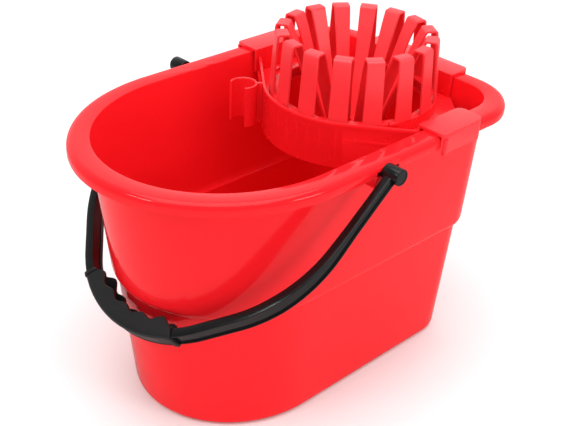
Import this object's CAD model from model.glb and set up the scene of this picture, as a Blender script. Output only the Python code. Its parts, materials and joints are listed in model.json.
import json
import math

import bmesh
import bpy
from bpy.props import FloatProperty, FloatVectorProperty, IntProperty, PointerProperty
from mathutils import Matrix, Vector


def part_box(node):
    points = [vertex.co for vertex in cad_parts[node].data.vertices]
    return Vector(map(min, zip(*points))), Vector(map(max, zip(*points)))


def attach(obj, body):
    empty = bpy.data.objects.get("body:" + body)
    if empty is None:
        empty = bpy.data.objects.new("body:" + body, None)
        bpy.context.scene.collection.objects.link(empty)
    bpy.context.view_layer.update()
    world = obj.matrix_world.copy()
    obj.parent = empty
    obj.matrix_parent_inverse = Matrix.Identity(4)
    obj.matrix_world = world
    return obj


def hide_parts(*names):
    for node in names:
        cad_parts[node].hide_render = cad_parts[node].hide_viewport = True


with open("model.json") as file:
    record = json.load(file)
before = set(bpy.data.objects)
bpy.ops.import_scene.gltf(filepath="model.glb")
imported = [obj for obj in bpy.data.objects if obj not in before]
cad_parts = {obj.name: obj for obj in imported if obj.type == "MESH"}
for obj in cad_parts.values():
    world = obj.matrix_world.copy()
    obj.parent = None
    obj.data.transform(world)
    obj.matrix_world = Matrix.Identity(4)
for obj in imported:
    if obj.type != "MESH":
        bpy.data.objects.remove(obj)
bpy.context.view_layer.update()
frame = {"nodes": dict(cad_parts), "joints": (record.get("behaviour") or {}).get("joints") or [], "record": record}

bl_info = {
    "name": "Mop bucket with cone wringer",
    "version": (1, 0, 0),
    "blender": (4, 5, 0),
    "location": "View3D > Sidebar > Bucket",
    "description": "Builds a moulded mop bucket, its cone wringer and its bail handle",
    "category": "Object",
}

# ---- sizes that come from the frame ----

RIM_HALF, RIM_END, RIM_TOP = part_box("tub")[1]
PIVOT = Vector(next(j["pos_m"] for j in frame["joints"] if j["name"] == "handle_swing"))
KNUCKLE_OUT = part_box("bail")[1].x
RING_LOW, RING_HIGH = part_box("basket_ring")
CONE_LOW, CONE_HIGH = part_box("basket_floor")
STRIP_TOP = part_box("strip_01")[1].z
TRAY_LOW, TRAY_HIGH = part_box("wringer_tray")
HOOK_LOW, HOOK_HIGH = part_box("hook_right")
BACK_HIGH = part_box("hook_back")[1]
CLIP_LOW, CLIP_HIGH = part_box("pole_clip")
SOCKET_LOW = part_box("socket_right")[0]
CLIP = next(m for m in frame["record"]["mounts"] if m["name"] == "pole_clip")
WRINGER_Y = (CONE_LOW.y + CONE_HIGH.y) / 2
STRIPS = sorted(n for n in frame["nodes"] if n.startswith("strip_"))

# ---- fixed details of the mouldings, in metres and degrees ----

WELD = 1e-6  # points nearer than this are one
FILLET, NECK = 0.002, 0.001  # where the wall turns out into the rim, and where the rim turns down
LIP_EDGE = ((0, 0.0008), (0.0003, 0.0002), (0.0009, 0))  # (up, in) around the rim's lower edge
MOUTH_EDGE = ((0, 0.0016), (0.0005, 0.0004), (0.0016, 0))  # (down, out) around the bucket's mouth
SCOOPS = ((0.0015, 1.0), (0.029, 1.1))  # (y, share of the scoop radius) of the scoops beside each socket
SCOOP_TILT = 12
BORE_PLAY = 0.0001  # gap between a pivot stub and its bore
KNUCKLE_PLAY = 0.0004  # gap between the rim and a knuckle
ARM_SETBACK = 0.005  # how far the arm lies inside the knuckle's outer face
TAPER_START, TAPER_LENGTH = 0.05, 0.09  # where the strap widens, measured down from the pivot
RIM_PLAY = 0.0003  # gap between the rim and a hook
HOOK_LIP = 0.016  # how far a hook reaches down outside the rim
COLLAR_LAG = 0.004  # how far the collar's ends lie behind the side hooks' fronts
LUG_ANGLES = (-78, -102, -20, -160)  # where the collar's lugs hold the basket
LUG_HALF, LUG_LOW, LUG_HIGH = 0.0045, 0.0042, 0.0012  # half width, and depths below the collar's top
CLIP_ENDS = (325, 575)  # the pole clip runs between these angles
DRAINS, DRAIN_CIRCLE = 8, 0.017  # small drain holes, and the radius of their circle
DRAIN_MIDDLE, DRAIN_SMALL = 0.005, 0.003
BEND = 0.0019  # bending radius of the strips' bridges
OUTER_POINTS = 13  # how many of a strip's points belong to its outer leg
FEET_OUT = 0.06  # past this radius a strip's points belong to its foot
FEET_RISE, TIP_RISE = 0.0006, 0.001  # points this near the ring or the cone's bottom are laid flat on it
FLOOR_DROP, FLOOR_SPAN = 0.0004, 30
PAPER, PAPER_IN_GLOSS = 0.93, 0.45  # how pale the floor is, and how pale reflections see it
LIGHTS = (  # name, place, aim, size, watts
    ("overhead", (0.1, -0.1, 1.7), (0, 0, 0.1), (1.6, 1.6), 18),
    ("front strip light", (-0.2, -1.35, 1.35), (0, -0.19, 0.26), (0.5, 0.16), 4.5),
    ("side strip light", (1.45, 0.38, 0.83), (0.12, 0, 0.26), (0.5, 0.16), 4),
)


def length(name, value, about):
    """A size in metres that a user may change."""
    return FloatProperty(name=name, description=about, default=value, min=0.0, precision=4, unit="LENGTH")


def degrees(name, value, about):
    """An angle, given in degrees, that a user may change."""
    return FloatProperty(name=name, description=about, default=math.radians(value), subtype="ANGLE")


def plastic_colour(name, value, about):
    """A colour that a user may change."""
    return FloatVectorProperty(name=name, description=about, default=value, subtype="COLOR", size=3,
                               min=0.0, max=1.0)


# ---- sizes and colours ----

class BucketSizes(bpy.types.PropertyGroup):
    front_curve: length("Front curve", 0.144, "Length of the rounded front of the rim")
    back_corner: length("Back corner", 0.056, "Corner radius of the rim at the back")
    side_inset: length("Side inset", 0.036, "How far the base is set in at each side")
    front_inset: length("Front inset", 0.053, "How far the base is set in at the front")
    back_inset: length("Back inset", 0.031, "How far the base is set in at the back")
    wall: length("Wall", 0.0024, "Thickness of the moulded walls")
    floor: length("Floor", 0.003, "Thickness of the bucket's floor")
    base_round: length("Base rounding", 0.007, "Rounding of the bottom edge")
    ledge: length("Ledge height", 0.136, "Height of the step around the body")
    ledge_step: length("Ledge step", 0.004, "How far the body steps in below the ledge")
    ledge_round: length("Ledge rounding", 0.007, "Height of the ledge's rounded underside")
    rim_reach: length("Rim reach", 0.0175, "How far the rim reaches out from the wall")
    rim_drop: length("Rim drop", 0.011, "Height of the rim's outer edge")
    rim_round: length("Rim rounding", 0.006, "Rounding of the rim's outer top edge")
    scoop: length("Scoop radius", 0.0095, "Radius of the two scoops beside each handle socket")


class HandleSizes(bpy.types.PropertyGroup):
    reach: length("Reach", 0.227, "Distance from the pivot axis to the outside of the arch")
    arch: length("Arch radius", 0.11, "Radius of the bottom of the arch")
    shoulder: length("Shoulder radius", 0.131, "Radius of the shoulders of the arch")
    depth: length("Strap depth", 0.008, "Depth of the strap in the arch's plane")
    top_width: length("Top width", 0.009, "Width of the strap at the knuckle")
    width: length("Width", 0.017, "Width of the strap at the grip")
    ridge: length("Ridge", 0.0017, "Width of the ridge along each edge of the strap")
    hollow: length("Hollow", 0.0016, "Depth of the channel between the ridges")
    knuckle: length("Knuckle", 0.0145, "Diameter of the knuckle")
    stub: length("Stub", 0.008, "Diameter of the pivot stub")
    rest_angle: degrees("Rest angle", 51, "Angle of the handle from straight down")
    grip_width: length("Grip width", 0.02, "Width of the grip across the arch's plane")
    grip_depth: length("Grip depth", 0.019, "Depth of the grip")
    grip_skin: length("Grip skin", 0.001, "Thickness of the grip over the strap")
    grip_angle: degrees("Grip angle", 33, "Half of the angle that the grip covers")
    fingers: IntProperty(name="Fingers", description="Number of finger grooves", default=4, min=1)
    finger_depth: length("Finger depth", 0.0035, "Depth of each finger groove")


class WringerSizes(bpy.types.PropertyGroup):
    skin: length("Skin", 0.0022, "Thickness of the tray and its collar")
    hook_plate: length("Hook plate", 0.0027, "Thickness of the hooks over the rim")
    gap: length("Gap", 0.0035, "Gap between the tray's collar and the basket")
    ledge: length("Ledge", 0.009, "Width of the ring's ledge")
    strip_foot: length("Strip foot", 0.0172, "Width of each strip at its foot")
    strip_top: length("Strip top", 0.0155, "Width of each strip at its bridge")
    strip_skin: length("Strip skin", 0.0024, "Thickness of each strip")
    lean: length("Lean", 0.0035, "How far the outer legs lean in")
    bridge: length("Bridge", 0.011, "Width of the bridge at the top of each strip")
    web: length("Clip web", 0.003, "Width of the web that holds the pole clip")
    stand: length("Clip stand", 0.0047, "How far the pole clip stands off the collar")
    post: length("Post", 0.0044, "Diameter of the half-round post on each side hook")


class Finishes(bpy.types.PropertyGroup):
    red: plastic_colour("Red", (0.93, 0.012, 0.018), "Colour of the bucket")
    wringer_red: plastic_colour("Wringer red", (0.93, 0.016, 0.024), "Colour of the wringer")
    strip_red: plastic_colour("Strip red", (0.93, 0.034, 0.044), "Colour of the basket's strips")
    black: plastic_colour("Black", (0.006, 0.006, 0.0063), "Colour of the handle")
    grip_black: plastic_colour("Grip black", (0.011, 0.011, 0.0112), "Colour of the grip")


class StageSizes(bpy.types.PropertyGroup):
    azimuth: degrees("Azimuth", 46.341, "Direction of the camera")
    elevation: degrees("Elevation", 31.392, "Height angle of the camera")
    roll: degrees("Roll", 2.294, "Roll of the camera")
    distance: length("Distance", 0.941761, "Distance of the camera from its target")
    target_y: FloatProperty(name="Target Y", description="Where the camera aims", default=-0.005074)
    target_z: FloatProperty(name="Target Z", description="Where the camera aims", default=0.153209)
    fill: FloatProperty(name="Fill light", description="Strength of the even light", default=0.85, min=0.0)
    lens: FloatProperty(name="Lens", description="Focal length in millimetres", default=64.5)
    shift_x: FloatProperty(name="Shift X", description="Sideways shift of the lens", default=0.02572)
    shift_y: FloatProperty(name="Shift Y", description="Upward shift of the lens", default=-0.0009)


GROUPS = {
    "bucket_sizes": BucketSizes,
    "handle_sizes": HandleSizes,
    "wringer_sizes": WringerSizes,
    "finishes": Finishes,
    "stage_sizes": StageSizes,
}


# ---- modelling helpers ----

def settle():
    """Leaves edit mode and deselects everything."""
    if bpy.context.object and bpy.context.object.mode != "OBJECT":
        bpy.ops.object.mode_set(mode="OBJECT")
    bpy.ops.object.select_all(action="DESELECT")


def choose(piece):
    """Makes a piece the only selected object and the active one."""
    settle()
    piece.hide_viewport = False
    piece.select_set(True)
    bpy.context.view_layer.objects.active = piece


def new_piece(name):
    """Names the primitive or copy that was just made."""
    piece = bpy.context.object
    piece.name = piece.data.name = name
    return piece


def place_applied():
    """Moves the active piece's place, turn and scale into its mesh."""
    bpy.ops.object.transform_apply(location=True, rotation=True, scale=True)


def turned_out(piece):
    """Welds a closed piece and points its faces outwards."""
    choose(piece)
    bpy.ops.object.mode_set(mode="EDIT")
    bpy.ops.mesh.select_all(action="SELECT")
    bpy.ops.mesh.remove_doubles(threshold=WELD)
    bpy.ops.mesh.dissolve_degenerate(threshold=WELD)
    bpy.ops.mesh.normals_make_consistent(inside=False)
    if bmesh.from_edit_mesh(piece.data).calc_volume(signed=True) < 0:
        bpy.ops.mesh.flip_normals()
    bpy.ops.object.mode_set(mode="OBJECT")
    return piece


def lofted(name, rings, wrap=False):
    """A closed skin through rings of as many points: a circle is placed, extruded and placed again."""
    settle()
    fill = "NOTHING" if wrap else "NGON"
    bpy.ops.mesh.primitive_circle_add(vertices=len(rings[0]), radius=1, fill_type=fill)
    piece = new_piece(name)
    rings = [[Vector(point) for point in ring] for ring in rings]
    bpy.ops.object.mode_set(mode="EDIT")
    bpy.ops.mesh.select_mode(type="VERT")
    bpy.ops.mesh.select_all(action="SELECT")
    shaped = bmesh.from_edit_mesh(piece.data)
    for vertex, point in zip(shaped.verts, rings[0]):
        vertex.co = point
    bmesh.update_edit_mesh(piece.data)
    for before, after in zip(rings, rings[1:] + (rings[:1] if wrap else [])):
        bpy.ops.mesh.extrude_edges_indiv()
        place = {tuple(a): b for a, b in zip(before, after)}
        shaped = bmesh.from_edit_mesh(piece.data)
        for vertex in shaped.verts:
            if vertex.select:
                vertex.co = place[tuple(vertex.co)]
        bmesh.update_edit_mesh(piece.data)
    if not wrap:
        bpy.ops.mesh.edge_face_add()
    return turned_out(piece)


def prism(name, outline, low, high):
    """A flat outline raised from one height to another."""
    return lofted(name, [[(x, y, low) for x, y in outline], [(x, y, high) for x, y in outline]])


def block(name, low, high):
    """A box between two corners."""
    settle()
    bpy.ops.mesh.primitive_cube_add(size=1, location=(Vector(low) + Vector(high)) / 2)
    piece = new_piece(name)
    piece.scale = Vector(high) - Vector(low)
    place_applied()
    return piece


def rod(name, radius, start, end, sides=64):
    """A round bar between two points."""
    settle()
    start, end = Vector(start), Vector(end)
    bpy.ops.mesh.primitive_cylinder_add(vertices=sides, radius=radius, depth=(end - start).length,
                                        location=(start + end) / 2)
    piece = new_piece(name)
    piece.rotation_euler = (end - start).to_track_quat("Z", "Y").to_euler()
    place_applied()
    return piece


def combine(piece, tool, operation):
    """Joins, cuts or intersects a piece with a tool, which is used up."""
    choose(piece)
    modifier = piece.modifiers.new("combine", "BOOLEAN")
    modifier.operation = operation
    modifier.solver = "EXACT"
    modifier.object = tool
    bpy.ops.object.modifier_apply(modifier=modifier.name)
    bpy.data.objects.remove(tool)
    return piece


def cut_away(piece, low, high):
    """Cuts a box between two corners out of a piece."""
    return combine(piece, block("cut", low, high), "DIFFERENCE")


def bevelled(piece, width, segments=2, angle=35):
    """Rounds the sharp edges of a piece."""
    choose(piece)
    modifier = piece.modifiers.new("edges", "BEVEL")
    modifier.width = width
    modifier.segments = segments
    modifier.limit_method = "ANGLE"
    modifier.angle_limit = math.radians(angle)
    modifier.miter_outer = "MITER_ARC"
    modifier.use_clamp_overlap = True
    bpy.ops.object.modifier_apply(modifier=modifier.name)
    return piece


def finished(piece, node_names, body, plastic_name, angle=32):
    """Shades a piece, gives it its material and ties it to its CAD nodes and its body."""
    turned_out(piece)
    bpy.ops.object.shade_smooth_by_angle(angle=math.radians(angle))
    piece.data.materials.clear()
    piece.data.materials.append(bpy.data.materials[plastic_name])
    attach(piece, body)
    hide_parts(*node_names)
    settle()
    return piece


def angles_between(start, end, steps):
    """Evenly spaced angles in radians, between two angles in degrees."""
    return [math.radians(start + (end - start) * i / steps) for i in range(steps + 1)]


def arc(middle, radius, start, end, steps):
    """Points along an arc, with its angles in degrees."""
    turns = angles_between(start, end, steps)
    return [(middle[0] + radius * math.cos(t), middle[1] + radius * math.sin(t)) for t in turns]


def rounded(corners, steps=6):
    """An outline with each corner (x, y, radius) rounded."""
    points = []
    for i, (x, y, radius) in enumerate(corners):
        here = Vector((x, y))
        back = (Vector(corners[i - 1][:2]) - here).normalized()
        ahead = (Vector(corners[(i + 1) % len(corners)][:2]) - here).normalized()
        if radius <= 0:
            points.append((x, y))
            continue
        half = math.acos(max(-1, min(1, back.dot(ahead)))) / 2
        middle = here + (back + ahead).normalized() * (radius / math.sin(half))
        cut = radius / math.tan(half)
        first, last = here + back * cut - middle, here + ahead * cut - middle
        sweep = first.angle_signed(last)
        for k in range(steps + 1):
            points.append(tuple(middle + Matrix.Rotation(-sweep * k / steps, 2) @ first))
    return points


# ---- materials ----

def add(tree, kind, place=(0, 0), **values):
    """Adds a shader node. Each named value sets one of its properties, or else an input socket."""
    node = tree.nodes.new("ShaderNode" + kind)
    node.location = place
    for name, value in values.items():
        if hasattr(node, name):
            setattr(node, name, value)
        else:
            node.inputs[name.replace("_", " ")].default_value = value
    return node


def group(name, inputs, outputs):
    """A shader node group with float, colour or vector sockets."""
    tree = bpy.data.node_groups.new(name, "ShaderNodeTree")
    kinds = {"f": "NodeSocketFloat", "c": "NodeSocketColor", "v": "NodeSocketVector"}
    for label, kind, default in inputs:
        socket = tree.interface.new_socket(label, in_out="INPUT", socket_type=kinds[kind])
        socket.default_value = default
    for label, kind in outputs:
        tree.interface.new_socket(label, in_out="OUTPUT", socket_type=kinds[kind])
    return tree, tree.nodes.new("NodeGroupInput"), tree.nodes.new("NodeGroupOutput")


def moulded_skin():
    """Plastic from a mould: slow colour drift, a fine orange-peel surface and uneven gloss."""
    tree, source, out = group(
        "moulded_skin",
        [("Colour", "c", (1, 0, 0, 1)), ("Gloss", "f", 0.25), ("Drift", "f", 0.05), ("Peel", "f", 0.05)],
        [("Colour", "c"), ("Roughness", "f"), ("Normal", "v")])
    link = tree.links.new
    place = add(tree, "TexCoord", (-900, 0))
    slow = add(tree, "TexNoise", (-650, 200), Scale=9.0, Detail=3.0, Roughness=0.5)
    fine = add(tree, "TexNoise", (-650, -50), Scale=260.0, Detail=1.0, Roughness=0.3)
    cloud = add(tree, "TexNoise", (-650, -300), Scale=60.0, Detail=4.0, Roughness=0.55)
    for noise in (slow, fine, cloud):
        link(place.outputs["Object"], noise.inputs["Vector"])
    spread = add(tree, "MapRange", (-430, 200), From_Min=0.3, From_Max=0.7, To_Min=-1.0, To_Max=1.0)
    link(slow.outputs["Fac"], spread.inputs["Value"])
    scaled = add(tree, "Math", (-250, 200), operation="MULTIPLY_ADD")
    link(spread.outputs["Result"], scaled.inputs[0])
    link(source.outputs["Drift"], scaled.inputs[1])
    scaled.inputs[2].default_value = 1.0
    tinted = add(tree, "Mix", (-60, 200), data_type="RGBA", blend_type="MULTIPLY")
    tinted.inputs["Factor"].default_value = 1.0
    link(source.outputs["Colour"], tinted.inputs[6])
    link(scaled.outputs[0], tinted.inputs[7])
    link(tinted.outputs[2], out.inputs["Colour"])
    uneven = add(tree, "MapRange", (-430, -300), From_Min=0.3, From_Max=0.7, To_Min=0.85, To_Max=1.2)
    link(cloud.outputs["Fac"], uneven.inputs["Value"])
    rough = add(tree, "Math", (-60, -200), operation="MULTIPLY")
    link(uneven.outputs["Result"], rough.inputs[0])
    link(source.outputs["Gloss"], rough.inputs[1])
    link(rough.outputs[0], out.inputs["Roughness"])
    bump = add(tree, "Bump", (-60, -400), Distance=0.0001)
    link(source.outputs["Peel"], bump.inputs["Strength"])
    link(fine.outputs["Fac"], bump.inputs["Height"])
    link(bump.outputs["Normal"], out.inputs["Normal"])
    return tree


def handling_marks():
    """Faint rubbed streaks that fade out from one height up to another."""
    tree, source, out = group(
        "handling_marks",
        [("Low", "f", 0.0), ("High", "f", 0.1), ("Amount", "f", 0.2)], [("Mask", "f")])
    link = tree.links.new
    place = add(tree, "TexCoord", (-900, 0))
    turned = add(tree, "Mapping", (-700, 100))
    turned.inputs["Rotation"].default_value = (0.3, 0.9, 0.5)
    turned.inputs["Scale"].default_value = (900.0, 60.0, 40.0)
    link(place.outputs["Object"], turned.inputs["Vector"])
    streaks = add(tree, "TexNoise", (-480, 100), Scale=1.0, Detail=5.0, Roughness=0.7)
    link(turned.outputs["Vector"], streaks.inputs["Vector"])
    thin = add(tree, "MapRange", (-280, 100), From_Min=0.6, From_Max=0.72)
    link(streaks.outputs["Fac"], thin.inputs["Value"])
    split = add(tree, "SeparateXYZ", (-700, -150))
    link(place.outputs["Object"], split.inputs["Vector"])
    height = add(tree, "MapRange", (-480, -150), To_Min=1.0, To_Max=0.0)
    link(split.outputs["Z"], height.inputs["Value"])
    link(source.outputs["Low"], height.inputs["From Min"])
    link(source.outputs["High"], height.inputs["From Max"])
    both = add(tree, "Math", (-100, 0), operation="MULTIPLY")
    link(thin.outputs["Result"], both.inputs[0])
    link(height.outputs["Result"], both.inputs[1])
    scaled = add(tree, "Math", (80, 0), operation="MULTIPLY")
    link(both.outputs[0], scaled.inputs[0])
    link(source.outputs["Amount"], scaled.inputs[1])
    link(scaled.outputs[0], out.inputs["Mask"])
    return tree


def studio_light(tree, azimuth, fill):
    """An even fill light, with a backdrop that reflections see bright behind the object and dim in front."""
    link = tree.links.new
    back = tree.nodes["Background"]
    back.inputs["Color"].default_value = (1, 1, 1, 1)
    place = add(tree, "TexCoord", (-900, 0))
    facing = add(tree, "VectorMath", (-700, 0), operation="DOT_PRODUCT")
    facing.inputs[1].default_value = (-math.sin(azimuth), math.cos(azimuth), 0)
    link(place.outputs["Generated"], facing.inputs[0])
    shade = add(tree, "MapRange", (-500, 0), From_Min=-0.2, From_Max=0.75, To_Min=0.15, To_Max=0.85)
    link(facing.outputs["Value"], shade.inputs["Value"])
    path = add(tree, "LightPath", (-700, 300))
    filled = add(tree, "Mix", (-250, 200), data_type="FLOAT")
    filled.inputs["A"].default_value = fill
    link(path.outputs["Is Glossy Ray"], filled.inputs["Factor"])
    link(shade.outputs["Result"], filled.inputs["B"])
    seen = add(tree, "Math", (-50, 100), operation="MAXIMUM")
    link(filled.outputs["Result"], seen.inputs[0])
    link(path.outputs["Is Camera Ray"], seen.inputs[1])
    link(seen.outputs[0], back.inputs["Strength"])


def plastic(name, colour, gloss, drift, peel, marks, specular):
    """One moulded plastic, from the two shared groups. The marks are (low, high, amount)."""
    material = bpy.data.materials.new(name)
    material.use_nodes = True
    tree = material.node_tree
    link = tree.links.new
    shader = tree.nodes["Principled BSDF"]
    skin = add(tree, "Group", (-600, 200), node_tree=bpy.data.node_groups["moulded_skin"],
               Colour=(*colour, 1), Gloss=gloss, Drift=drift, Peel=peel)
    low, high, amount = marks
    rubbed = add(tree, "Group", (-600, -100), node_tree=bpy.data.node_groups["handling_marks"],
                 Low=low, High=high, Amount=amount)
    rough = add(tree, "Math", (-300, 0), operation="ADD")
    link(skin.outputs["Roughness"], rough.inputs[0])
    link(rubbed.outputs["Mask"], rough.inputs[1])
    link(skin.outputs["Colour"], shader.inputs["Base Color"])
    link(rough.outputs[0], shader.inputs["Roughness"])
    link(skin.outputs["Normal"], shader.inputs["Normal"])
    shader.inputs["IOR"].default_value = 1.5
    shader.inputs["Specular IOR Level"].default_value = specular
    return material


# ---- outlines shared by several pieces ----

def tub_outline(side, front, back, corner):
    """The bucket's D-shaped outline, set in from the rim's outside by three amounts."""
    sizes = bpy.context.scene.bucket_sizes
    half, near, far = RIM_HALF - side, -(RIM_END - front), RIM_END - back
    curve = sizes.front_curve * half / RIM_HALF
    right = [(half * math.sin(t), near + curve * (1 - math.cos(t))) for t in angles_between(0, 90, 44)]
    right += arc((half - corner, far - corner), corner, 0, 90, 14)
    return right + [(-x, y) for x, y in reversed(right[1:])]


def tub_ring(height, inset, step=0.0):
    """One ring of the drafted body."""
    sizes = bpy.context.scene.bucket_sizes
    down = (RIM_TOP - height) / RIM_TOP
    base = sizes.rim_reach + step + inset
    taken = sizes.rim_reach + sizes.ledge_step
    side = base + (sizes.side_inset - taken) * down
    front = base + (sizes.front_inset - taken) * down
    back = base + (sizes.back_inset - taken) * down
    corner = sizes.back_corner - min(back, taken + sizes.wall)
    return [(x, y, height) for x, y in tub_outline(side, front, back, corner)]


def rim_ring(height, inset):
    """One ring of the rim, evenly set in from its outside."""
    corner = bpy.context.scene.bucket_sizes.back_corner - inset
    return [(x, y, height) for x, y in tub_outline(inset, inset, inset, corner)]


def wringer_circle(radius, z, turns):
    """A level ring of points about the wringer's middle."""
    return [(radius * math.cos(t), WRINGER_Y + radius * math.sin(t), z) for t in turns]


def flare(radius, half, y):
    """Angle at which a straight line to the point (half, y) leaves a circle about the wringer's middle."""
    dy = y - WRINGER_Y
    return math.degrees(math.atan2(dy, half) - math.acos(radius / math.hypot(half, dy)))


# ---- the bucket ----

class BUCKET_OT_shell(bpy.types.Operator):
    """Model the bucket with its rolled rim, its ledge and the scoops beside the handle"""
    bl_idname = "bucket.shell"
    bl_label = "Bucket"

    def execute(self, context):
        s = context.scene.bucket_sizes
        turn = angles_between(0, 90, 6)
        wall, top, step = s.wall, RIM_TOP, s.ledge_step
        low, bottom = s.ledge - s.ledge_round, top - s.rim_drop
        under, inner = top - wall, s.rim_reach + wall
        ledge = [(s.ledge_round * (1 - math.cos(t)), step * (1 - math.sin(t))) for t in turn]
        # up the outside: the rounded base, the lower body, the ledge and the upper body
        rings = [tub_ring(s.base_round * (1 - math.cos(t)), s.base_round * (1 - math.sin(t)), step)
                 for t in turn]
        rings += [tub_ring(low * share, 0, step) for share in (0.4, 0.8, 1.0)]
        rings += [tub_ring(low + rise, inset + 0.0003 * (k == 0)) for k, (rise, inset) in enumerate(ledge)]
        rings += [tub_ring(under - down, 0) for down in (0.09, 0.03, FILLET)]
        # out under the rim, around its hanging edge and over its top
        rings += [tub_ring(under, -FILLET), rim_ring(under, wall + NECK), rim_ring(under - NECK, wall)]
        rings += [rim_ring(bottom, wall)] + [rim_ring(bottom + up, inset) for up, inset in LIP_EDGE]
        rings += [rim_ring(top - s.rim_round * (1 - math.sin(t)), s.rim_round * (1 - math.cos(t)))
                  for t in angles_between(0, 90, 10)]
        rings += [rim_ring(top - down, inner - out) for down, out in MOUTH_EDGE]
        # down the inside to the floor
        rings += [tub_ring(top - down, wall) for down in (0.05, 0.1)]
        rings += [tub_ring(low + rise, wall + inset) for rise, inset in reversed(ledge)]
        rings += [tub_ring(low - 0.04, wall, step), tub_ring(s.base_round + s.floor, wall, step)]
        rings += [tub_ring(s.floor + s.base_round * (1 - math.sin(t)),
                           wall + s.base_round * (1 - math.cos(t)), step) for t in turn[1:]]
        shell = lofted("bucket_shell", rings)
        for side in (-1, 1):
            for y, share in SCOOPS:
                tool = rod("scoop", s.scoop * share, (0, 0, -0.004), (0, 0, 0.02), 48)
                mouth = (side * (RIM_HALF - inner - 0.0005), y, top - 0.0005)
                tool.data.transform(Matrix.Translation(mouth)
                                    @ Matrix.Rotation(side * math.radians(-SCOOP_TILT), 4, "Y")
                                    @ Matrix.Translation((0, 0, 0.0035)))
                combine(shell, tool, "DIFFERENCE")
        finished(shell, ["tub"], "bucket", "red_bucket_plastic")
        return {"FINISHED"}


def pivot_rod(name, radius, start, end, sides):
    """A round bar on the handle's pivot axis, between two values of x."""
    return rod(name, radius, (start, PIVOT.y, PIVOT.z), (end, PIVOT.y, PIVOT.z), sides)


class BUCKET_OT_sockets(bpy.types.Operator):
    """Model the two blocks below the rim that hold the handle"""
    bl_idname = "bucket.sockets"
    bl_label = "Handle sockets"

    def execute(self, context):
        bore = context.scene.handle_sizes.stub / 2 + BORE_PLAY
        for side, name in ((-1, "socket_left"), (1, "socket_right")):
            low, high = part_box(name)
            boss = block(name + "_boss", low, high)
            bevelled(boss, 0.0012, 3)
            combine(boss, pivot_rod("hole", bore, side * 0.1, side * 0.14, 48), "DIFFERENCE")
            finished(boss, [name], "bucket", "red_bucket_plastic")
        return {"FINISHED"}


# ---- the handle ----

def swung(x, down, across):
    """A point of the arch's plane, at the angle at which the handle rests."""
    tilt = math.pi / 2 - bpy.context.scene.handle_sizes.rest_angle
    y, z = -down, across
    return Vector((x, PIVOT.y + y * math.cos(tilt) - z * math.sin(tilt),
                   PIVOT.z + y * math.sin(tilt) + z * math.cos(tilt)))


def arch_path(s):
    """Points of the arch's outside, with the direction inwards, from one arm to the other."""
    arm = KNUCKLE_OUT - ARM_SETBACK
    middle = s.reach - s.arch
    eighth = math.radians(45)
    bend = middle + 2 * s.arch * math.sin(eighth) - (arm - s.shoulder) - 2 * s.shoulder * math.sin(eighth)
    half = [(arm, bend * share, -1.0, 0.0) for share in (0.0, 0.35, 0.7)]
    for i in range(17):
        t = eighth * i / 16
        half.append((arm - s.shoulder + s.shoulder * math.cos(t), bend + s.shoulder * math.sin(t),
                     -math.cos(t), -math.sin(t)))
    for i in range(1, 31):
        t = eighth * (1 - i / 30)
        half.append((s.arch * math.sin(t), middle + s.arch * math.cos(t), -math.sin(t), -math.cos(t)))
    return half + [(-x, d, -nx, nd) for x, d, nx, nd in reversed(half[:-1])]


def strap_section(width, depth, ridge, hollow):
    """The strap's section as (inwards, across) points: a shallow channel on both faces."""
    w, edge = width / 2, 0.0007
    outer = [(edge, w), (0.0002, w - 0.0002), (0, w - edge), (0, w - ridge + 0.0003),
             (hollow, w - ridge - 0.0006)]
    outer += [(d, -across) for d, across in reversed(outer)]
    return outer + [(depth - d, across) for d, across in reversed(outer)]


class BUCKET_OT_strap(bpy.types.Operator):
    """Model the bail's strap, with its ridged channel, knuckles and pivot stubs"""
    bl_idname = "bucket.strap"
    bl_label = "Bail"

    def execute(self, context):
        s = context.scene.handle_sizes
        rings = []
        for x, down, nx, nd in arch_path(s):
            share = max(0.0, min(1.0, (down - TAPER_START) / TAPER_LENGTH))
            width = s.top_width + (s.width - s.top_width) * share
            rings.append([swung(x + nx * d, down + nd * d, across)
                          for d, across in strap_section(width, s.depth, s.ridge, s.hollow)])
        strap = lofted("bail_strap", rings)
        inside = RIM_HALF + KNUCKLE_PLAY
        for side in (-1, 1):
            knuckle = pivot_rod("knuckle", s.knuckle / 2, side * inside, side * KNUCKLE_OUT, 72)
            bevelled(knuckle, 0.0008, 3)
            stub = pivot_rod("stub", s.stub / 2, side * (SOCKET_LOW.x + 0.001), side * (inside + 0.004), 48)
            dish = pivot_rod("dish", s.knuckle / 2 - 0.0016, side * (KNUCKLE_OUT - 0.0004),
                             side * (KNUCKLE_OUT + 0.002), 72)
            combine(knuckle, stub, "UNION")
            combine(knuckle, dish, "DIFFERENCE")
            combine(strap, knuckle, "UNION")
        finished(strap, ["bail"], "handle", "black_handle_plastic")
        return {"FINISHED"}


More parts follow.
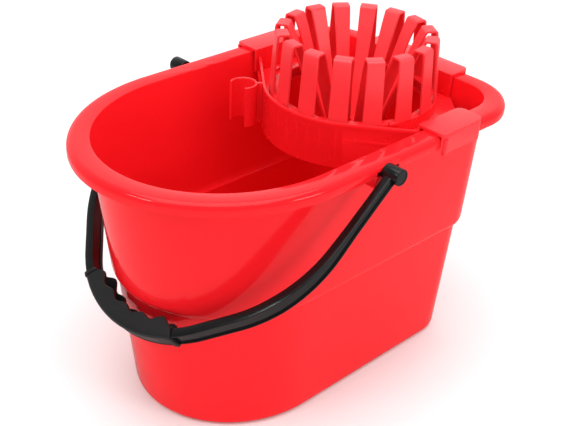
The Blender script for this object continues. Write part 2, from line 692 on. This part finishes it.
class BUCKET_OT_grip(bpy.types.Operator):
    """Model the grip, with its palm panel, end collars and finger grooves"""
    bl_idname = "bucket.grip"
    bl_label = "Grip"

    def execute(self, context):
        s = context.scene.handle_sizes
        middle = s.reach - s.arch
        half = s.grip_angle
        span = half - math.radians(7)  # the fingers' grooves stop short of the ends
        collar = 0.004 / s.arch  # angle that an end collar covers
        raised, round_end = 0.001, 0.008  # the collars' height, and the angle of their rounded ends
        sunk, short = 0.0006, 0.02  # the palm panel's depth, and its angle short of the collars
        rise = math.radians(6)  # angle over which the underside leaves the strap
        thin = s.depth + 0.0012  # the grip's inward depth at its ends
        palm = s.width / 2 - (s.grip_width - s.width) / 2
        steps = 120
        angles = [half * (2 * i / steps - 1) for i in range(steps + 1)]
        for edge in (half - collar, half - collar - 0.006):
            angles += [edge, -edge]
        rings = []
        for t in sorted(angles):
            ease = min(1.0, (half - abs(t)) / round_end)
            proud = raised if abs(t) > half - collar - 0.001 else 0.0
            proud *= math.sqrt(max(0.0, 1 - (1 - ease) ** 2))
            groove = 0.5 - 0.5 * math.cos(math.pi * s.fingers * (t / span + 1)) if abs(t) < span else 0.0
            inward = s.grip_depth - s.grip_skin - s.finger_depth * groove
            slope = min(1.0, (half - abs(t)) / rise)
            inward = thin + (inward - thin) * slope * slope * (3 - 2 * slope)
            w = s.grip_width / 2 + proud
            top = -s.grip_skin - proud
            panel = sunk if abs(t) < half - collar - short else 0.0
            section = [
                (top + panel, 0.0), (top + panel, w * 0.35), (top + panel, w * 0.62),
                (top + panel * 0.9, w * 0.66), (top + 0.0001, w * 0.7), (top + 0.0005, w * 0.84),
                (top + 0.0016, w * 0.95), (top + 0.0034, w), (inward * 0.5, w), (inward - 0.0006, w),
                (inward, w - 0.0004), (inward, palm + 0.0006), (inward - 0.0005, palm),
                (s.depth, palm), (s.depth, palm * 0.5), (s.depth, 0.0)]
            whole = section + [(d, -across) for d, across in reversed(section[1:-1])]
            rings.append([swung((s.arch - d) * math.sin(t), middle + (s.arch - d) * math.cos(t), across)
                          for d, across in whole])
        grip = lofted("grip_sleeve", rings)
        finished(grip, ["grip"], "handle", "black_grip_plastic")
        return {"FINISHED"}


# ---- the wringer's tray ----

def ray_out(outline, angle):
    """Where a ray from the wringer's middle meets an outline."""
    dx, dy = math.cos(angle), math.sin(angle)
    best = None
    for (ax, ay), (bx, by) in zip(outline, outline[1:] + outline[:1]):
        ex, ey = bx - ax, by - ay
        cross = dx * ey - dy * ex
        if abs(cross) < 1e-12:
            continue
        far = (ax * ey - (ay - WRINGER_Y) * ex) / cross
        along = (ax * dy - (ay - WRINGER_Y) * dx) / cross
        if far > 0 and -1e-9 <= along <= 1 + 1e-9 and (best is None or far > best):
            best = far
    return (best * dx, WRINGER_Y + best * dy)


class BUCKET_OT_tray(bpy.types.Operator):
    """Model the tray's floor, its collar with a lip and the lugs that hold the basket"""
    bl_idname = "bucket.tray"
    bl_label = "Wringer tray"

    def execute(self, context):
        w = context.scene.wringer_sizes
        ring_r = RING_HIGH.x
        half, skin = TRAY_HIGH.x, w.skin
        collar_r = ring_r + w.gap + skin
        collar_y = HOOK_LOW.y + COLLAR_LAG
        floor_z = RING_LOW.z
        lean_out = flare(collar_r, half - skin, collar_y)
        front = [(-half, collar_y)]
        front += arc((0, WRINGER_Y), collar_r, 180 - lean_out, 360 + lean_out, 48)
        front += [(half, collar_y)]
        rear_x, rear_y = BACK_HIGH.x, TRAY_HIGH.y
        neck_x, neck_y = ring_r - 0.005, HOOK_HIGH.y + 0.035
        outline = front + [(half, HOOK_HIGH.y), (neck_x, neck_y), (rear_x, rear_y),
                           (-rear_x, rear_y), (-neck_x, neck_y), (-half, HOOK_HIGH.y)]
        corners = [math.atan2(y - WRINGER_Y, x) % (2 * math.pi) for x, y in outline[:1] + outline[50:]]
        angles = sorted(set([2 * math.pi * i / 180 for i in range(180)] + corners))
        edge = [ray_out(outline, t) for t in angles]
        hole_r = ring_r - w.ledge
        hole = [(hole_r * math.cos(t), WRINGER_Y + hole_r * math.sin(t)) for t in angles]
        tray = lofted("tray_shell", [[(x, y, z) for x, y in line] for line, z in
                                     ((edge, floor_z), (hole, floor_z), (hole, floor_z - skin),
                                      (edge, floor_z - skin))], wrap=True)
        low, high = TRAY_LOW.z, TRAY_HIGH.z
        # the collar's path as (x, y, and the direction inwards), with a straight flare at each end
        path = [(collar_r * math.cos(t), WRINGER_Y + collar_r * math.sin(t), -math.cos(t), -math.sin(t))
                for t in angles_between(180 - lean_out, 360 + lean_out, 60)]
        path = [(-half + skin, collar_y, *path[0][2:])] + path + [(half - skin, collar_y, *path[-1][2:])]
        section = [(0.0002, low), (0, low + 0.0004), (0, high - 0.0038), (-0.0003, high - 0.0032),
                   (-0.0003, high - 0.0006), (0, high - 0.0001), (0.0004, high), (skin - 0.0004, high),
                   (skin, high - 0.0004), (skin, low + 0.0004), (skin - 0.0002, low)]
        wall = lofted("collar", [[(x + nx * d, y + ny * d, z) for d, z in section] for x, y, nx, ny in path])
        combine(tray, wall, "UNION")
        lug_r = ring_r + w.gap + 0.0004
        for t in map(math.radians, LUG_ANGLES):
            lug = block("lug", (-0.0006 - w.gap, -LUG_HALF, high - LUG_LOW),
                        (0.0009, LUG_HALF, high - LUG_HIGH))
            bevelled(lug, 0.0007, 2)
            spot = (lug_r * math.cos(t), WRINGER_Y + lug_r * math.sin(t), 0)
            lug.data.transform(Matrix.Translation(spot) @ Matrix.Rotation(t, 4, "Z"))
            combine(tray, lug, "UNION")
        finished(tray, ["wringer_tray"], "wringer", "red_wringer_plastic")
        return {"FINISHED"}


class BUCKET_OT_hooks(bpy.types.Operator):
    """Model the three hooks over the rim, with rounded corners and the posts on the side hooks"""
    bl_idname = "bucket.hooks"
    bl_label = "Rim hooks"

    def execute(self, context):
        w = context.scene.wringer_sizes
        skin, low, high = w.skin, HOOK_LOW, HOOK_HIGH
        under_plate = high.z - w.hook_plate
        lip_low = under_plate - HOOK_LIP
        inside, around = TRAY_HIGH.x, RIM_HALF + RIM_PLAY
        past, deep = 0.01, 0.2  # how far the cuts reach past a hook, and where they start
        for side, name in ((-1, "hook_left"), (1, "hook_right")):
            outline = rounded([(inside - skin, low.y, 0.001), (around + skin, low.y, 0.0035),
                               (around + skin, high.y, 0.008), (inside - skin, high.y, 0.007)])
            hook = prism(name + "_cap", outline, RING_LOW.z, high.z)
            cut_away(hook, (inside, low.y - past, deep), (around, high.y + past, under_plate))
            cut_away(hook, (inside, low.y - past, deep), (RIM_HALF + 0.02, high.y + past, lip_low))
            post_x, post_y = around + skin, low.y + 0.0035
            post = rod("post", w.post / 2, (post_x, post_y, lip_low - 0.0005),
                       (post_x, post_y, under_plate - 0.0015), 32)
            combine(hook, post, "UNION")
            bevelled(hook, 0.0006, 3)
            if side < 0:
                choose(hook)
                bpy.ops.transform.mirror(constraint_axis=(True, False, False), orient_type="GLOBAL")
                place_applied()
            finished(hook, [name], "wringer", "red_wringer_plastic")
        wide, reach, tray_y = BACK_HIGH.x, BACK_HIGH.y, TRAY_HIGH.y
        outline = rounded([(-wide, tray_y - skin, 0.001), (wide, tray_y - skin, 0.001),
                           (wide, reach, 0.006), (-wide, reach, 0.006)])
        hook = prism("hook_back_cap", outline, RING_LOW.z, high.z)
        cut_away(hook, (-0.1, tray_y, deep), (0.1, RIM_END + RIM_PLAY, under_plate))
        cut_away(hook, (-0.1, tray_y, deep), (0.1, reach + past, lip_low))
        cut_away(hook, (-0.025, tray_y - 0.02, deep), (0.025, tray_y + 0.0002, high.z + past))
        bevelled(hook, 0.0006, 3)
        finished(hook, ["hook_back"], "wringer", "red_wringer_plastic")
        return {"FINISHED"}


class BUCKET_OT_clip(bpy.types.Operator):
    """Model the pole clip on the tray's collar"""
    bl_idname = "bucket.clip"
    bl_label = "Pole clip"

    def execute(self, context):
        w = context.scene.wringer_sizes
        x, y = CLIP["pos_m"][:2]
        inner = CLIP["dims"]["r_mm"] / 1000
        outer = inner + w.skin
        low, high, edge = CLIP_LOW.z, CLIP_HIGH.z, 0.0005
        section = [(inner, low + edge), (inner, high - edge), (inner + edge, high), (outer - edge, high),
                   (outer, high - edge), (outer, low + edge), (outer - edge, low), (inner + edge, low)]
        clip = lofted("pole_clip_shell", [[(x + r * math.cos(t), y + r * math.sin(t), z) for r, z in section]
                                          for t in angles_between(*CLIP_ENDS, 72)])
        web = block("web", (inner + w.skin / 2, -w.web / 2, low), (outer + w.stand, w.web / 2, high))
        turn = -flare(RING_HIGH.x + w.gap + w.skin, TRAY_HIGH.x - w.skin, HOOK_LOW.y + COLLAR_LAG)
        web.data.transform(Matrix.Translation((x, y, 0)) @ Matrix.Rotation(math.radians(turn), 4, "Z"))
        combine(clip, web, "UNION")
        bevelled(clip, 0.0006, 3, 60)
        finished(clip, ["pole_clip"], "wringer", "red_wringer_plastic")
        return {"FINISHED"}


# ---- the wringer's basket ----

class BUCKET_OT_ring(bpy.types.Operator):
    """Model the basket's ring and the bottom of its cone"""
    bl_idname = "bucket.ring"
    bl_label = "Basket ring and floor"

    def execute(self, context):
        w = context.scene.wringer_sizes
        r, low, high, skin, edge = RING_HIGH.x, RING_LOW.z, RING_HIGH.z, w.skin, 0.0006
        section = [(r, low), (r, high - edge), (r - edge * 0.3, high - edge * 0.3), (r - edge, high),
                   (r - w.ledge + edge, high), (r - w.ledge, high - edge), (r - w.ledge, high - w.strip_skin),
                   (r - skin, high - w.strip_skin), (r - skin, low)]
        turns = [2 * math.pi * i / 128 for i in range(128)]
        ring = lofted("basket_band", [wringer_circle(radius, z, turns) for radius, z in section], wrap=True)
        finished(ring, ["basket_ring"], "wringer", "red_wringer_plastic")
        cone_r, low, high, edge = CONE_HIGH.x, CONE_LOW.z, CONE_HIGH.z, 0.0005
        section = [(cone_r - edge, low), (cone_r, low + edge), (cone_r, high - edge), (cone_r - edge, high)]
        base = lofted("basket_base", [wringer_circle(radius, z, turns) for radius, z in section])
        around = [math.radians(360 / DRAINS * i) for i in range(DRAINS)]
        holes = [(0.0, 0.0, DRAIN_MIDDLE)]
        holes += [(DRAIN_CIRCLE * math.cos(t), DRAIN_CIRCLE * math.sin(t), DRAIN_SMALL) for t in around]
        for x, y, radius in holes:
            y += WRINGER_Y
            combine(base, rod("drain", radius, (x, y, low - 0.01), (x, y, high + 0.01), 32), "DIFFERENCE")
        finished(base, ["basket_floor"], "wringer", "red_wringer_plastic")
        return {"FINISHED"}


def hairpin(w):
    """A strip's middle line as (radius, height), from its foot over the bridge to the cone's bottom."""
    skin = w.strip_skin
    foot = RING_HIGH.x - skin / 2
    top = foot - w.lean
    peak = STRIP_TOP - skin / 2
    inner = top - w.bridge + skin * 0.2
    cone_r = CONE_HIGH.x - 0.001 - skin / 2
    lean = w.lean / (peak - RING_HIGH.z)
    slope = (inner - cone_r) / (peak - CONE_HIGH.z)
    line = []
    for k in range(7):
        z = RING_HIGH.z + (peak - BEND * 1.6 - RING_HIGH.z) * k / 6
        line.append((foot - lean * (z - RING_HIGH.z), z))
    for t in map(math.radians, range(15, 91, 15)):
        line.append((top - BEND + BEND * math.cos(t), peak - BEND + BEND * math.sin(t)))
    for t in map(math.radians, range(90, 166, 15)):
        line.append((inner + BEND + BEND * math.cos(t) * 0.9, peak - BEND + BEND * math.sin(t)))
    for k in range(1, 11):
        z = peak - BEND * 1.6 + (CONE_HIGH.z - peak + BEND * 1.6) * k / 10
        line.append((cone_r + slope * (z - CONE_HIGH.z), z))
    return line


def strip_width(w, z, outer):
    """Width of a strip: a little wider at its foot, and narrow where the inner legs meet."""
    rise = (z - RING_HIGH.z) / (STRIP_TOP - RING_HIGH.z)
    if outer:
        return w.strip_foot + (w.strip_top - w.strip_foot) * rise
    depth = (STRIP_TOP - z) / (STRIP_TOP - CONE_HIGH.z)
    narrow = 0.32 * CONE_HIGH.x
    return w.strip_top + (narrow - w.strip_top) * max(0.0, depth)


class BUCKET_OT_strips(bpy.types.Operator):
    """Model one arched strip and copy it around the basket"""
    bl_idname = "bucket.strips"
    bl_label = "Strips"

    def execute(self, context):
        w = context.scene.wringer_sizes
        line = hairpin(w)
        rings = []
        for i, (radius, z) in enumerate(line):
            back, ahead = line[max(0, i - 1)], line[min(len(line) - 1, i + 1)]
            along = Vector((ahead[0] - back[0], ahead[1] - back[1])).normalized()
            out = Vector((along.y, -along.x))
            half = strip_width(w, z, i < OUTER_POINTS) / 2
            thick, edge = w.strip_skin / 2, 0.0005
            section = [(thick, half - edge), (thick - edge, half), (edge - thick, half),
                       (-thick, half - edge)]
            section += [(d, -across) for d, across in reversed(section)]
            rings.append([(radius + out.x * d, across, z + out.y * d) for d, across in section])
        first = lofted("strip", rings)
        bm = bmesh.new()
        bm.from_mesh(first.data)
        for vertex in bm.verts:
            if vertex.co.x > FEET_OUT and vertex.co.z < RING_HIGH.z + FEET_RISE:
                vertex.co.z = RING_HIGH.z
            if vertex.co.z < CONE_HIGH.z + TIP_RISE:
                vertex.co.z = CONE_HIGH.z
        bm.to_mesh(first.data)
        bm.free()
        for index, name in enumerate(STRIPS):
            choose(first)
            bpy.ops.object.duplicate(linked=False)
            piece = new_piece(name + "_arch")
            turn = 2 * math.pi * (index + 0.5) / len(STRIPS)
            piece.data.transform(Matrix.Translation((0, WRINGER_Y, 0)) @ Matrix.Rotation(turn, 4, "Z"))
            finished(piece, [name], "wringer", "red_strip_plastic", 40)
        bpy.data.objects.remove(first)
        return {"FINISHED"}


# ---- finishes and stage ----

class BUCKET_OT_finishes(bpy.types.Operator):
    """Make the plastics"""
    bl_idname = "bucket.finishes"
    bl_label = "Finishes"

    def execute(self, context):
        f = context.scene.finishes
        moulded_skin()
        handling_marks()
        plastic("red_bucket_plastic", f.red, gloss=0.1, drift=0.02, peel=0.05,
                marks=(0.0, 0.06, 0.15), specular=0.25)
        plastic("red_wringer_plastic", f.wringer_red, gloss=0.24, drift=0.02, peel=0.05,
                marks=(0.2, 0.4, 0.04), specular=0.45)
        plastic("red_strip_plastic", f.strip_red, gloss=0.34, drift=0.03, peel=0.05,
                marks=(0.2, 0.4, 0.04), specular=0.6)
        plastic("black_handle_plastic", f.black, gloss=0.2, drift=0.1, peel=0.06,
                marks=(0.0, 0.4, 0.06), specular=0.3)
        plastic("black_grip_plastic", f.grip_black, gloss=0.34, drift=0.1, peel=0.15,
                marks=(0.0, 0.4, 0.08), specular=0.35)
        return {"FINISHED"}


class BUCKET_OT_stage(bpy.types.Operator):
    """Set the pale floor, the soft lights and the camera"""
    bl_idname = "bucket.stage"
    bl_label = "Stage"

    def execute(self, context):
        scene = context.scene
        s = scene.stage_sizes
        settle()
        bpy.ops.mesh.primitive_plane_add(size=FLOOR_SPAN, location=(0, 0, -FLOOR_DROP))
        ground = bpy.context.object
        ground.name = "floor"
        paper = bpy.data.materials.new("pale_paper")
        paper.use_nodes = True
        shader = paper.node_tree.nodes["Principled BSDF"]
        shader.inputs["Roughness"].default_value = 0.9
        path = add(paper.node_tree, "LightPath", (-600, 0))
        tone = add(paper.node_tree, "MapRange", (-350, 0), To_Min=PAPER, To_Max=PAPER_IN_GLOSS)
        paper.node_tree.links.new(path.outputs["Is Glossy Ray"], tone.inputs["Value"])
        paper.node_tree.links.new(tone.outputs["Result"], shader.inputs["Base Color"])
        ground.data.materials.append(paper)
        world = bpy.data.worlds.new("studio")
        scene.world = world
        world.use_nodes = True
        studio_light(world.node_tree, s.azimuth, s.fill)
        for name, place, aim, size, power in LIGHTS:
            light = bpy.data.objects.new(name, bpy.data.lights.new(name, "AREA"))
            scene.collection.objects.link(light)
            light.location = place
            light.rotation_euler = (Vector(aim) - Vector(place)).to_track_quat("-Z", "Y").to_euler()
            light.data.shape = "RECTANGLE"
            light.data.size, light.data.size_y = size
            light.data.energy = power
        camera = bpy.data.objects.new("camera", bpy.data.cameras.new("camera"))
        scene.collection.objects.link(camera)
        forward = Vector((-math.sin(s.azimuth) * math.cos(s.elevation),
                          math.cos(s.azimuth) * math.cos(s.elevation), -math.sin(s.elevation)))
        level = forward.cross(Vector((0, 0, 1))).normalized()
        above = level.cross(forward)
        right = level * math.cos(s.roll) + above * math.sin(s.roll)
        up = above * math.cos(s.roll) - level * math.sin(s.roll)
        place = Vector((0, s.target_y, s.target_z)) - forward * s.distance
        camera.matrix_world = Matrix((
            (right.x, up.x, -forward.x, place.x), (right.y, up.y, -forward.y, place.y),
            (right.z, up.z, -forward.z, place.z), (0, 0, 0, 1)))
        camera.data.sensor_width = 36
        camera.data.lens = s.lens
        camera.data.shift_x = s.shift_x
        camera.data.shift_y = s.shift_y
        camera.data.clip_start = 0.01
        scene.camera = camera
        scene.view_settings.view_transform = "Standard"
        return {"FINISHED"}


class BUCKET_PT_panel(bpy.types.Panel):
    """The builder's steps, in order"""
    bl_idname = "BUCKET_PT_panel"
    bl_label = "Mop bucket"
    bl_space_type = "VIEW_3D"
    bl_region_type = "UI"
    bl_category = "Bucket"

    def draw(self, context):
        for step in STEPS:
            self.layout.operator(step.bl_idname)
        for name, sizes in GROUPS.items():
            for field in sizes.__annotations__:
                self.layout.prop(getattr(context.scene, name), field)


STEPS = (
    BUCKET_OT_finishes,
    BUCKET_OT_shell,
    BUCKET_OT_sockets,
    BUCKET_OT_strap,
    BUCKET_OT_grip,
    BUCKET_OT_tray,
    BUCKET_OT_hooks,
    BUCKET_OT_clip,
    BUCKET_OT_ring,
    BUCKET_OT_strips,
    BUCKET_OT_stage,
)


def register():
    """Registers the classes and adds their settings to the scene."""
    for kind in (*GROUPS.values(), *STEPS, BUCKET_PT_panel):
        bpy.utils.register_class(kind)
    for name, sizes in GROUPS.items():
        setattr(bpy.types.Scene, name, PointerProperty(type=sizes))


def unregister():
    """Takes the settings and the classes away again."""
    for name in GROUPS:
        delattr(bpy.types.Scene, name)
    for kind in reversed((*GROUPS.values(), *STEPS, BUCKET_PT_panel)):
        bpy.utils.unregister_class(kind)


def main():
    register()
    for step in STEPS:
        area, action = step.bl_idname.split(".")
        getattr(getattr(bpy.ops, area), action)()


if __name__ == "__main__":
    main()
